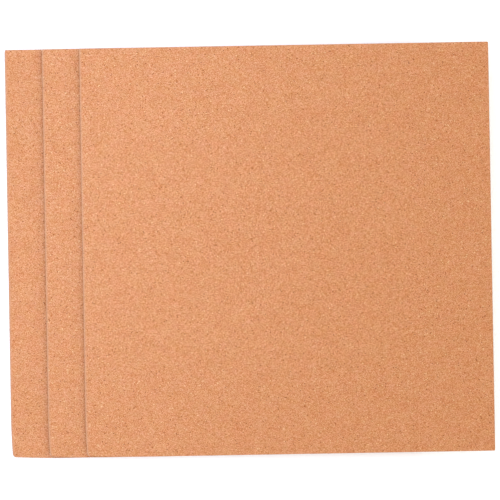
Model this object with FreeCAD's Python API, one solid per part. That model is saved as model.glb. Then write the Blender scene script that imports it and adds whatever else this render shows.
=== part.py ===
import FreeCAD, Part
import math
import os

# Three square self-adhesive cork sheets, the facing of a sanding block, laid
# flat on each other in a sideways fan. Each sheet is a laminate of three
# layers: agglomerated cork on top, a film of adhesive, and a release liner
# underneath. Millimetres. +Z is up and +X runs along the fan, from the bottom
# sheet towards the top sheet. The origin is on the underside, at the middle
# of the whole fan.

# ---- driving dimensions ----
sheet_width = 304.8             # along X, a 12 in stock sheet
sheet_length = 304.8            # along Y, a 12 in stock sheet
cork_thickness = 3.0
adhesive_thickness = 0.06
liner_thickness = 0.12
adhesive_setback = 0.4          # the adhesive stops short of every cut edge
sheet_clearance = 0.02          # air between a liner and the cork it lies on
fan_step = 27.8                 # each sheet lies this far to the right of the one below
cut_corner_radius = 0.8         # three corners, as the knife leaves them
soft_corner_radius = 2.8        # the front left corner, rounded off
left_lead_length = 32.0         # the left edge curves in over this length, towards the soft corner,
left_lead_depth = 1.05          # by this much
front_lead_length = 45.0        # and so does the front edge
front_lead_depth = 1.25
sheet_names = ["bottom", "middle", "top"]

# ---- what follows from them ----
laminate_thickness = liner_thickness + adhesive_thickness + cork_thickness
sheet_pitch = laminate_thickness + sheet_clearance
middle_level = (len(sheet_names) - 1) / 2

to_right = FreeCAD.Vector(1, 0, 0)
to_back = FreeCAD.Vector(0, 1, 0)
back_left = FreeCAD.Vector(-sheet_width / 2, sheet_length / 2, 0)
back_right = FreeCAD.Vector(sheet_width / 2, sheet_length / 2, 0)
front_right = FreeCAD.Vector(sheet_width / 2, -sheet_length / 2, 0)
front_left = FreeCAD.Vector(-sheet_width / 2, -sheet_length / 2, 0)

left_lead_radius = (left_lead_length ** 2 + left_lead_depth ** 2) / (2 * left_lead_depth)
left_lead_start = front_left + to_back * left_lead_length
left_lead_centre = left_lead_start + to_right * left_lead_radius
front_lead_radius = (front_lead_length ** 2 + front_lead_depth ** 2) / (2 * front_lead_depth)
front_lead_start = front_left + to_right * front_lead_length
front_lead_centre = front_lead_start + to_back * front_lead_radius


def soft_corner_centre():
    """The centre of the soft corner's arc, which runs smoothly into both curved edges."""
    from_left = left_lead_radius - soft_corner_radius
    from_front = front_lead_radius - soft_corner_radius
    span = front_lead_centre - left_lead_centre
    along = (from_left ** 2 - from_front ** 2 + span.Length ** 2) / (2 * span.Length)
    across = math.sqrt(from_left ** 2 - along ** 2)
    span.normalize()
    return left_lead_centre + span * along + FreeCAD.Vector(-span.y, span.x, 0) * across


def arc_about(centre, start, end):
    """The short arc about centre that runs from start to end."""
    half_way = (start - centre) + (end - centre)
    half_way.normalize()
    return Part.Arc(start, centre + half_way * (start - centre).Length, end).toShape()


def outline(setback):
    """The face that a layer is cut to, set back inwards, with the three cut corners still sharp."""
    right = to_right * setback
    back = to_back * setback
    corner = soft_corner_centre()
    left_end = corner + (corner - left_lead_centre).normalize() * (soft_corner_radius - setback)
    front_end = corner + (corner - front_lead_centre).normalize() * (soft_corner_radius - setback)
    return Part.Face(Part.Wire([
        Part.LineSegment(back_left + right - back, left_lead_start + right).toShape(),
        arc_about(left_lead_centre, left_lead_start + right, left_end),
        arc_about(corner, left_end, front_end),
        arc_about(front_lead_centre, front_end, front_lead_start + back),
        Part.LineSegment(front_lead_start + back, front_right - right + back).toShape(),
        Part.LineSegment(front_right - right + back, back_right - right - back).toShape(),
        Part.LineSegment(back_right - right - back, back_left + right - back).toShape(),
    ]))


def nearest_upright(block, corner):
    """The upright edge of block that is nearest to a corner of the sheet."""
    upright = [edge for edge in block.Edges if abs(edge.tangentAt(edge.FirstParameter).z) > 0.5]
    return min(upright, key=lambda edge: (edge.firstVertex().Point - corner).Length)


def layer(thickness, setback):
    """One layer of a sheet, centred on X and Y, with its underside at Z 0.

    setback moves the whole outline inwards, corner radii included.
    """
    block = outline(setback).extrude(FreeCAD.Vector(0, 0, thickness))
    cut_corners = [nearest_upright(block, corner) for corner in (back_left, back_right, front_right)]
    return block.makeFillet(cut_corner_radius - setback, cut_corners)


def place(shape, x, z, node):
    """Puts one layer at its place in the fan and writes it to the STEP file of its node."""
    shape.translate(FreeCAD.Vector(x, 0, z))
    shape.exportStep("parts/" + node + ".step")


os.makedirs("parts", exist_ok=True)

for level, name in enumerate(sheet_names):
    sheet_x = (level - middle_level) * fan_step
    liner_z = level * sheet_pitch
    adhesive_z = liner_z + liner_thickness
    cork_z = adhesive_z + adhesive_thickness
    place(layer(liner_thickness, 0), sheet_x, liner_z, name + "_release_liner")
    place(layer(adhesive_thickness, adhesive_setback), sheet_x, adhesive_z, name + "_adhesive_film")
    place(layer(cork_thickness, 0), sheet_x, cork_z, name + "_cork_sheet")
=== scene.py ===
import bpy
import bmesh
import math
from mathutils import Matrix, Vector, noise


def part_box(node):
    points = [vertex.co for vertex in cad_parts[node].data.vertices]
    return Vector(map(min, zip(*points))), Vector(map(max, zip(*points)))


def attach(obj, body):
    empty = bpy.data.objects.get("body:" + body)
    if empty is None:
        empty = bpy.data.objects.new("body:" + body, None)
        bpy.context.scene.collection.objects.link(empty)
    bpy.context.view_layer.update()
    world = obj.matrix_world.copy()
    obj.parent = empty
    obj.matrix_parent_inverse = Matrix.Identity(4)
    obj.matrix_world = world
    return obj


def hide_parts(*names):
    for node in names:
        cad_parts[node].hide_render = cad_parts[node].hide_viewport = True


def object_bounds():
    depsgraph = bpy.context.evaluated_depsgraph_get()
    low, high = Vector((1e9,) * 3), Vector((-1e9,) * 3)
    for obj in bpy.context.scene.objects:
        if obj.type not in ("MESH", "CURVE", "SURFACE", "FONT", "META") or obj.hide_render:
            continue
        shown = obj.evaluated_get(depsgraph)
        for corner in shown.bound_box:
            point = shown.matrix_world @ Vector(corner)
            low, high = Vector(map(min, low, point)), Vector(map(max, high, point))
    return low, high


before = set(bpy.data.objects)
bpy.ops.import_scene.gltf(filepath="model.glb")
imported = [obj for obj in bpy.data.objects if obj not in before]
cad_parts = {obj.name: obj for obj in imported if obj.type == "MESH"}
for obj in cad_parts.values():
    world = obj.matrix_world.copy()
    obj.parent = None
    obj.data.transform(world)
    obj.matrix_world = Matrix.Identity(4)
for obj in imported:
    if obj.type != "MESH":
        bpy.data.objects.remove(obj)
cadLow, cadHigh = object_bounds()
scene = bpy.context.scene
print("frame loaded, overall size", [round(side, 4) for side in cadHigh - cadLow])

sheetNames = ["bottom", "middle", "top"]
millimetre = 0.001

studio = {
    "lens": 600.0,              # long and far away, so that parallel edges stay parallel
    "sensor": 36.0,
    "lengthShare": 0.9682,      # of the picture's width that the fan takes up
    "sideways": 0.00017,        # m from the middle of the fan to what the camera looks at
    "backwards": 0.0002,
    "turn": -1.0,               # degrees, the fan lies a little askew in the picture
    "floorSide": 40.0,
    "floorDrop": 0.00005,
    "floorColor": (0.97, 0.97, 0.98, 1),
    "floorGlow": 0.15,          # the floor glows a little, which keeps its shadows faint
    "floorRoughness": 0.9,
    "floorSpecular": 0.1,
    "skyColor": (1.03, 1.0, 0.95, 1),
    "skyStrength": 1.117,
    "stripPlace": (-0.15, 0.12, 0.30),      # a strip light over the left part, facing down
    "stripTurn": -14.0,         # degrees
    "stripSize": (0.15, 0.80),
    "stripPower": 0.745,
    "stripColor": (0.72, 1.0, 1.6),
}


def linkNew(name, data):
    made = bpy.data.objects.new(name, data)
    scene.collection.objects.link(made)
    return made


def makeCamera():
    centre = (cadLow + cadHigh) / 2
    data = bpy.data.cameras.new("camera")
    data.lens = studio["lens"]
    data.sensor_width = studio["sensor"]
    across = (cadHigh.x - cadLow.x) / studio["lengthShare"]
    camera = linkNew("camera", data)
    camera.location = (
        centre.x + studio["sideways"],
        centre.y + studio["backwards"],
        cadHigh.z + across * data.lens / data.sensor_width,
    )
    camera.rotation_euler = (0, 0, math.radians(studio["turn"]))
    scene.camera = camera


def makeFloor():
    mesh = bpy.data.meshes.new("floor")
    bm = bmesh.new()
    bmesh.ops.create_grid(bm, x_segments=4, y_segments=4, size=studio["floorSide"] / 2)
    bmesh.ops.translate(bm, vec=(0, 0, -studio["floorDrop"]), verts=bm.verts)
    bm.to_mesh(mesh)
    bm.free()
    floor = linkNew("floor", mesh)
    paint = bpy.data.materials.new("floorPaint")
    paint.use_nodes = True
    shader = paint.node_tree.nodes["Principled BSDF"]
    shader.inputs["Base Color"].default_value = studio["floorColor"]
    shader.inputs["Roughness"].default_value = studio["floorRoughness"]
    shader.inputs["Specular IOR Level"].default_value = studio["floorSpecular"]
    shader.inputs["Emission Color"].default_value = (1, 1, 1, 1)
    shader.inputs["Emission Strength"].default_value = studio["floorGlow"]
    mesh.materials.append(paint)


def makeLight():
    world = bpy.data.worlds.new("sky")
    world.use_nodes = True
    background = world.node_tree.nodes["Background"]
    background.inputs["Color"].default_value = studio["skyColor"]
    background.inputs["Strength"].default_value = studio["skyStrength"]
    scene.world = world
    data = bpy.data.lights.new("stripLight", "AREA")
    data.shape = "RECTANGLE"
    data.size, data.size_y = studio["stripSize"]
    data.energy = studio["stripPower"]
    data.color = studio["stripColor"]
    strip = linkNew("stripLight", data)
    strip.location = studio["stripPlace"]
    strip.rotation_euler = (0, 0, math.radians(studio["stripTurn"]))


scene.view_settings.view_transform = "Standard"
makeCamera()
makeFloor()
makeLight()
print("camera, floor and light in place")


# small helpers that every material below is built with
def addNode(tree, kind, settings=None, values=None):
    node = tree.nodes.new(kind)
    for name, value in (settings or {}).items():
        setattr(node, name, value)
    for name, value in (values or {}).items():
        node.inputs[name].default_value = value
    return node


def join(tree, source, target):
    tree.links.new(source, target)


def feed(tree, sockets, values):
    # each value is either a plain one or another node's output
    for socket, value in zip(sockets, values):
        if isinstance(value, bpy.types.NodeSocket):
            join(tree, value, socket)
        else:
            socket.default_value = value


def mathNode(tree, operation, first, second):
    node = addNode(tree, "ShaderNodeMath", {"operation": operation})
    feed(tree, node.inputs, (first, second))
    return node.outputs[0]


def rangeNode(tree, value, low, high, toLow=0.0, toHigh=1.0):
    node = addNode(
        tree, "ShaderNodeMapRange",
        {"interpolation_type": "SMOOTHSTEP"},
        {"From Min": low, "From Max": high, "To Min": toLow, "To Max": toHigh},
    )
    join(tree, value, node.inputs["Value"])
    return node.outputs["Result"]


def mixColor(tree, share, first, second, blend="MIX"):
    node = addNode(tree, "ShaderNodeMix", {"data_type": "RGBA", "blend_type": blend})
    feed(tree, (node.inputs[0], node.inputs[6], node.inputs[7]), (share, first, second))
    return node.outputs[2]


def noiseNode(tree, vector, scale, detail, roughness):
    values = {"Scale": scale, "Detail": detail, "Roughness": roughness}
    cloud = addNode(tree, "ShaderNodeTexNoise", {}, values)
    join(tree, vector, cloud.inputs["Vector"])
    return cloud.outputs["Fac"]


def newMaterial(name, scale):
    # a material, its tree and shader, and object coordinates in the pattern's own scale
    material = bpy.data.materials.new(name)
    material.use_nodes = True
    tree = material.node_tree
    coords = addNode(tree, "ShaderNodeTexCoord")
    mapping = addNode(tree, "ShaderNodeMapping", {}, {"Scale": scale})
    join(tree, coords.outputs["Object"], mapping.inputs["Vector"])
    return material, tree, tree.nodes["Principled BSDF"], mapping.outputs["Vector"]


def addBump(tree, shader, height, strength, distance):
    bump = addNode(tree, "ShaderNodeBump", {}, {"Strength": strength, "Distance": distance})
    join(tree, height, bump.inputs["Height"])
    join(tree, bump.outputs["Normal"], shader.inputs["Normal"])


def newGroup(name, inputs, outputs):
    group = bpy.data.node_groups.new(name, "ShaderNodeTree")
    for label, kind, value in inputs:
        socket = group.interface.new_socket(label, in_out="INPUT", socket_type=kind)
        if value is not None:
            socket.default_value = value
    for label in outputs:
        group.interface.new_socket(label, in_out="OUTPUT", socket_type="NodeSocketFloat")
    return group, group.nodes.new("NodeGroupInput"), group.nodes.new("NodeGroupOutput")


corkLook = {
    "granule": 0.42,            # mm across a granule
    "fineCells": 1.9,           # how many finer cells fit along one granule, and so on
    "coarseCells": 0.42,
    "bitCells": 0.45,           # round bits of bark and pale cork
    "longCells": 0.8,           # long ones, which lie at three turns
    "longTurns": (0.35, -0.6, 1.9),     # radians
    "longStretch": (0.3, 1.1, 1),
    "bitOutline": (0.3, 0.55),          # where a bit starts and ends to fade
    "longOutline": (0.15, 0.45),
    "flatten": (0.89, 1.11, 1.0),   # granules lie a little longer along X than along Y
    "fineShare": 0.38,          # how much each size of granule counts for in the tone
    "granuleShare": 0.57,
    "coarseShare": 0.05,
    "toneRange": (0.21, 0.79),      # tones that give the darkest and the palest granules
    "dark": (0.422, 0.139, 0.038, 1),
    "middle": (0.560, 0.235, 0.098, 1),
    "light": (0.701, 0.345, 0.184, 1),
    "speck": (0.200, 0.050, 0.009, 1),      # bits of bark
    "fleck": (0.860, 0.620, 0.330, 1),      # bits of pale inner cork
    "speckShare": 0.023,
    "speckStrength": 0.95,
    "fleckShare": 0.009,
    "fleckStrength": 0.70,
    "warm": (1.015, 0.999, 0.968, 1),
    "cool": (0.985, 1.001, 1.032, 1),
    "rosy": (1.009, 0.973, 1.014, 1),
    "olive": (0.991, 1.027, 0.986, 1),
    "deep": (0.988, 0.975, 0.953, 1),
    "pale": (1.012, 1.025, 1.047, 1),
    "blotchScale": 0.11,        # per mm, clouds of warm and cool,
    "patchScale": 0.15,         # of rosy and olive,
    "shadeScale": 0.08,         # and of deep and pale
    "cloudDetail": 4.0,
    "cloudRoughness": 0.67,
    "cloudRange": (0.3, 0.7),
    "rim": (0.530, 0.288, 0.172, 1),
    "rimShare": 0.8,
    "cutShade": (0.42, 0.42, 0.42, 1),      # the cut sides are darkened: partly cut cork's darker look, partly painted shade that leaves less light to bounce into the shadow beside each step
    "dome": 0.6,                # height of a granule's dome, of its width,
    "stand": 0.6,               # how far some stand above others,
    "fineDome": 0.4,            # and the height of the finer ones
    "roughness": (0.74, 0.90),
    "specular": 0.15,
    "bump": 0.16,
    "bumpDistance": 0.0002,
}


def buildCorkGrain():
    group, start, end = newGroup(
        "corkGrain",
        [("Vector", "NodeSocketVector", None), ("Granule", "NodeSocketFloat", 1.0),
         ("Speck share", "NodeSocketFloat", 0.01), ("Fleck share", "NodeSocketFloat", 0.01)],
        ["Tone", "Specks", "Flecks", "Blotches", "Patches", "Shades", "Height"],
    )
    place = start.outputs["Vector"]
    fineness = mathNode(group, "DIVIDE", 1.0, start.outputs["Granule"])

    def granules(vector, share):
        cells = addNode(group, "ShaderNodeTexVoronoi", {"feature": "F1"})
        join(group, vector, cells.inputs["Vector"])
        join(group, mathNode(group, "MULTIPLY", fineness, share), cells.inputs["Scale"])
        parts = addNode(group, "ShaderNodeSeparateColor")
        join(group, cells.outputs["Color"], parts.inputs["Color"])
        return cells.outputs["Distance"], parts.outputs

    distance, chance = granules(place, 1.0)
    fineDistance, fineChance = granules(place, corkLook["fineCells"])
    coarseDistance, coarseChance = granules(place, corkLook["coarseCells"])
    tone = mathNode(group, "MULTIPLY", chance[0], corkLook["granuleShare"])
    for value, share in ((fineChance[0], "fineShare"), (coarseChance[0], "coarseShare")):
        tone = mathNode(group, "ADD", tone, mathNode(group, "MULTIPLY", value, corkLook[share]))
    join(group, tone, end.inputs["Tone"])

    # bark specks and pale flecks are whole granules picked by chance, with soft outlines
    def picked(value, share, spread, outline):
        chosen = mathNode(group, "GREATER_THAN", value, mathNode(group, "SUBTRACT", 1.0, share))
        return mathNode(group, "MULTIPLY", chosen, rangeNode(group, spread, *outline, 1.0, 0.0))

    bigDistance, bigChance = granules(place, corkLook["bitCells"])
    specks = picked(bigChance[1], start.outputs["Speck share"], bigDistance, corkLook["bitOutline"])
    flecks = picked(bigChance[2], start.outputs["Fleck share"], bigDistance, corkLook["bitOutline"])
    turns = corkLook["longTurns"]
    fleckShare = mathNode(group, "DIVIDE", start.outputs["Fleck share"], len(turns))
    speckShare = mathNode(group, "DIVIDE", start.outputs["Speck share"], len(turns))
    for turn in turns:
        lie = {"Rotation": (0, 0, turn), "Scale": corkLook["longStretch"]}
        turned = addNode(group, "ShaderNodeMapping", {}, lie)
        join(group, place, turned.inputs["Vector"])
        longDistance, longChance = granules(turned.outputs["Vector"], corkLook["longCells"])
        longFlecks = picked(longChance[1], fleckShare, longDistance, corkLook["longOutline"])
        longSpecks = picked(longChance[2], speckShare, longDistance, corkLook["longOutline"])
        flecks = mathNode(group, "MAXIMUM", flecks, longFlecks)
        specks = mathNode(group, "MAXIMUM", specks, longSpecks)
    join(group, flecks, end.inputs["Flecks"])
    join(group, specks, end.inputs["Specks"])
    clouds = (("Blotches", "blotchScale"), ("Patches", "patchScale"), ("Shades", "shadeScale"))
    for output, scale in clouds:
        cloud = noiseNode(group, place, corkLook[scale], corkLook["cloudDetail"], corkLook["cloudRoughness"])
        join(group, cloud, end.inputs[output])

    # each granule is a small dome, stands at its own height and is rough with finer ones
    dome = mathNode(group, "SUBTRACT", corkLook["dome"], distance)
    stand = mathNode(group, "MULTIPLY", chance[0], corkLook["stand"])
    height = mathNode(group, "ADD", dome, stand)
    rough = mathNode(group, "MULTIPLY", fineDistance, corkLook["fineDome"])
    height = mathNode(group, "SUBTRACT", height, rough)
    join(group, height, end.inputs["Height"])
    return group


def buildCork():
    scale = [side / millimetre for side in corkLook["flatten"]]
    material, tree, shader, place = newMaterial("corkFineGrain", scale)
    shader.inputs["Specular IOR Level"].default_value = corkLook["specular"]
    grain = addNode(tree, "ShaderNodeGroup", {"node_tree": buildCorkGrain()})
    join(tree, place, grain.inputs["Vector"])
    for label, key in (("Granule", "granule"), ("Speck share", "speckShare"), ("Fleck share", "fleckShare")):
        grain.inputs[label].default_value = corkLook[key]

    ramp = addNode(tree, "ShaderNodeValToRGB")
    stops = ramp.color_ramp.elements
    darkest, palest = corkLook["toneRange"]
    stops[0].position, stops[0].color = darkest, corkLook["dark"]
    stops[1].position, stops[1].color = palest, corkLook["light"]
    stops.new(0.5).color = corkLook["middle"]
    join(tree, grain.outputs["Tone"], ramp.inputs["Fac"])

    color = ramp.outputs["Color"]
    tints = (("Blotches", "warm", "cool"), ("Patches", "rosy", "olive"), ("Shades", "deep", "pale"))
    for output, one, other in tints:
        share = rangeNode(tree, grain.outputs[output], *corkLook["cloudRange"])
        tint = mixColor(tree, share, corkLook[one], corkLook[other])
        color = mixColor(tree, 1.0, color, tint, "MULTIPLY")
    bits = (("Specks", "speckStrength", "speck"), ("Flecks", "fleckStrength", "fleck"))
    for output, strength, bit in bits:
        share = mathNode(tree, "MULTIPLY", grain.outputs[output], corkLook[strength])
        color = mixColor(tree, share, color, corkLook[bit])
    rim = addNode(tree, "ShaderNodeAttribute", {"attribute_name": "rim"})
    pale = mathNode(tree, "MULTIPLY", rim.outputs["Fac"], corkLook["rimShare"])
    color = mixColor(tree, pale, color, corkLook["rim"])
    # painted shade: the cut sides (attribute cut) are multiplied darker by cutShade, partly cut cork's
    # darker look
    cut = addNode(tree, "ShaderNodeAttribute", {"attribute_name": "cut"})
    color = mixColor(tree, cut.outputs["Fac"], color, corkLook["cutShade"], "MULTIPLY")
    join(tree, color, shader.inputs["Base Color"])

    smooth, coarse = corkLook["roughness"]
    join(tree, rangeNode(tree, grain.outputs["Tone"], 0.0, 1.0, coarse, smooth), shader.inputs["Roughness"])
    addBump(tree, shader, grain.outputs["Height"], corkLook["bump"], corkLook["bumpDistance"])
    return material


corkSheet = {
    "meshStep": 0.00112,        # m between the mesh points of a face
    "cutCorner": 0.0008,
    "softCorner": 0.0028,       # the front left corner
    "frontLead": 0.045,         # the front edge curves in over this length, towards that corner,
    "frontDepth": 0.00125,      # by this much
    "leftLead": 0.032,
    "leftDepth": 0.00105,
    "leadReach": 0.008,         # m into the sheet that the mesh gives way to the curved edges
    "arris": 0.0004,            # rounding of the top edge
    "arrisSegments": 3,
    "sideRows": 4,
    "rimWidth": 0.0018,         # the left edge is paler over this width,
    "otherRims": 0.15,          # and the other edges by this share of it
    "grainDepth": 0.00010,      # depth of the relief on the face
    "cutDepth": 0.00016,        # the same on the cut sides
    "cutFineness": 1.7,         # the cut sides are this much finer than the face
    "fineWaves": 900.0,         # per m
    "coarseWaves": 230.0,
    "fineWeight": 0.85,
    "coarseWeight": 0.15,
    "sideLean": 0.2,            # a point whose normal leans out more than this is on a side
    "tiny": 1e-6,
}


def roundedPoint(x, y, halfX, halfY):
    # pulls a point of a corner's square in to the corner's arc
    radius = corkSheet["softCorner"] if x < 0 and y < 0 else corkSheet["cutCorner"]
    pastX = abs(x) - (halfX - radius)
    pastY = abs(y) - (halfY - radius)
    if pastX <= 0 or pastY <= 0:
        return x, y
    pull = max(pastX, pastY) / math.hypot(pastX, pastY)
    return (
        math.copysign(halfX - radius + pastX * pull, x),
        math.copysign(halfY - radius + pastY * pull, y),
    )


def leadIn(x, y, halfX, halfY):
    # curves the front and left edges in towards the soft corner
    fromLeft = x + halfX
    fromFront = y + halfY
    alongFront = max(0.0, 1 - fromLeft / corkSheet["frontLead"])
    alongLeft = max(0.0, 1 - fromFront / corkSheet["leftLead"])
    nearFront = max(0.0, 1 - fromFront / corkSheet["leadReach"])
    nearLeft = max(0.0, 1 - fromLeft / corkSheet["leadReach"])
    return (
        x + corkSheet["leftDepth"] * alongLeft ** 2 * nearLeft,
        y + corkSheet["frontDepth"] * alongFront ** 2 * nearFront,
    )


def grainDip(point):
    # how far a point of the face lies below the highest granules, 0 to 1
    fine = noise.noise(point * corkSheet["fineWaves"]) * 0.5 + 0.5
    coarse = noise.noise(point * corkSheet["coarseWaves"]) * 0.5 + 0.5
    dip = corkSheet["fineWeight"] * fine + corkSheet["coarseWeight"] * coarse
    return min(1.0, max(0.0, dip))


def makeCorkSheet(name, material):
    node = name + "_cork_sheet"
    low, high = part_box(node)
    centre = (low + high) / 2
    halfX = (high.x - low.x) / 2
    halfY = (high.y - low.y) / 2
    columns = round(2 * halfX / corkSheet["meshStep"])
    rows = round(2 * halfY / corkSheet["meshStep"])

    bm = bmesh.new()
    bmesh.ops.create_grid(bm, x_segments=columns, y_segments=rows, size=1.0)
    bmesh.ops.scale(bm, vec=(halfX, halfY, 1), verts=bm.verts)
    rim = bm.verts.layers.float.new("rim")
    cut = bm.verts.layers.float.new("cut")
    for vert in bm.verts:
        toEdge = min(halfX - vert.co.x, halfY - abs(vert.co.y))
        leftRim = 1 - (vert.co.x + halfX) / corkSheet["rimWidth"]
        otherRim = 1 - toEdge / corkSheet["rimWidth"]
        vert[rim] = max(0.0, leftRim, corkSheet["otherRims"] * otherRim)
        x, y = leadIn(*roundedPoint(vert.co.x, vert.co.y, halfX, halfY), halfX, halfY)
        vert.co = Vector((centre.x + x, centre.y + y, high.z))

    topRing = [edge for edge in bm.edges if edge.is_boundary]
    ring = topRing
    drop = (high.z - low.z) / corkSheet["sideRows"]
    for row in range(corkSheet["sideRows"]):
        made = bmesh.ops.extrude_edge_only(bm, edges=ring)["geom"]
        verts = [item for item in made if isinstance(item, bmesh.types.BMVert)]
        bmesh.ops.translate(bm, vec=(0, 0, -drop), verts=verts)
        for vert in verts:
            vert[rim] = 0.0
            vert[cut] = 1.0
        ring = [item for item in made if isinstance(item, bmesh.types.BMEdge) and item.is_boundary]
    bmesh.ops.holes_fill(bm, edges=ring, sides=0)
    bmesh.ops.bevel(
        bm, geom=topRing, offset=corkSheet["arris"], affect="EDGES",
        segments=corkSheet["arrisSegments"], profile=0.5, material=-1,
    )
    bmesh.ops.recalc_face_normals(bm, faces=bm.faces)

    # the relief only goes inwards from the faces, so the sheet keeps its size
    bm.normal_update()
    for vert in bm.verts:
        if vert.co.z < low.z + corkSheet["tiny"]:
            continue
        outward = Vector((vert.normal.x, vert.normal.y, 0))
        if vert.co.z > high.z - corkSheet["tiny"]:
            vert.co.z -= corkSheet["grainDepth"] * grainDip(vert.co)
        if outward.length > corkSheet["sideLean"]:
            dip = grainDip(vert.co * corkSheet["cutFineness"])
            vert.co -= outward.normalized() * corkSheet["cutDepth"] * dip
    for face in bm.faces:
        face.smooth = True

    mesh = bpy.data.meshes.new(name + "CorkSheet")
    bm.to_mesh(mesh)
    bm.free()
    mesh.materials.append(material)
    sheet = linkNew(name + "CorkSheet", mesh)
    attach(sheet, name + "_sheet")
    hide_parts(node)
    print(name, "cork sheet:", len(mesh.polygons), "faces")
    return sheet


cork = buildCork()
for name in sheetNames:
    makeCorkSheet(name, cork)


adhesiveLook = {
    "coatScale": (90, 900, 900),    # per m, the coater leaves long streaks along X
    "clear": (0.82, 0.78, 0.66, 1),
    "milky": (0.88, 0.86, 0.80, 1),
    "coatDetail": 4.0,
    "coatRoughness": 0.5,
    "coatRange": (0.3, 0.7),
    "roughness": (0.28, 0.45),
}


def buildAdhesive():
    material, tree, shader, place = newMaterial("adhesiveFilm", adhesiveLook["coatScale"])
    coat = noiseNode(tree, place, 1.0, adhesiveLook["coatDetail"], adhesiveLook["coatRoughness"])
    color = mixColor(tree, coat, adhesiveLook["clear"], adhesiveLook["milky"])
    join(tree, color, shader.inputs["Base Color"])
    gloss = rangeNode(tree, coat, *adhesiveLook["coatRange"], *adhesiveLook["roughness"])
    join(tree, gloss, shader.inputs["Roughness"])
    return material


linerLook = {
    "fibreScale": (1600, 500, 1000),    # per m, the paper's fibres run along Y
    "paper": (0.76, 0.73, 0.66, 1),
    "fibre": (0.86, 0.84, 0.78, 1),
    "fibreDetail": 5.0,
    "fibreRoughness": 0.65,
    "fibreRange": (0.3, 0.7),
    "cloudRange": (0.7, 1.3),
    "roughness": (0.42, 0.60),
    "cockleScale": 0.03,        # of the fibres' scale, the paper's slow waves
    "cockleDetail": 2.0,
    "cockleRoughness": 0.5,
    "cockleHeight": 2.0,        # times the fibres' height
    "bump": 0.25,
    "bumpDistance": 0.0002,
}


def buildLiner():
    look = linerLook
    material, tree, shader, place = newMaterial("linerPaper", look["fibreScale"])
    fibres = noiseNode(tree, place, 1.0, look["fibreDetail"], look["fibreRoughness"])
    cockle = noiseNode(tree, place, look["cockleScale"], look["cockleDetail"], look["cockleRoughness"])
    cloudy = rangeNode(tree, mathNode(tree, "ADD", fibres, cockle), *look["cloudRange"])
    color = mixColor(tree, cloudy, look["paper"], look["fibre"])
    join(tree, color, shader.inputs["Base Color"])
    gloss = rangeNode(tree, fibres, *look["fibreRange"], *look["roughness"])
    join(tree, gloss, shader.inputs["Roughness"])
    height = mathNode(tree, "ADD", fibres, mathNode(tree, "MULTIPLY", cockle, look["cockleHeight"]))
    addBump(tree, shader, height, look["bump"], look["bumpDistance"])
    return material


def paintNode(node, material):
    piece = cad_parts[node]
    piece.data.materials.clear()
    piece.data.materials.append(material)


adhesive = buildAdhesive()
liner = buildLiner()
for name in sheetNames:
    paintNode(name + "_adhesive_film", adhesive)
    paintNode(name + "_release_liner", liner)
print("adhesive films and release liners painted")
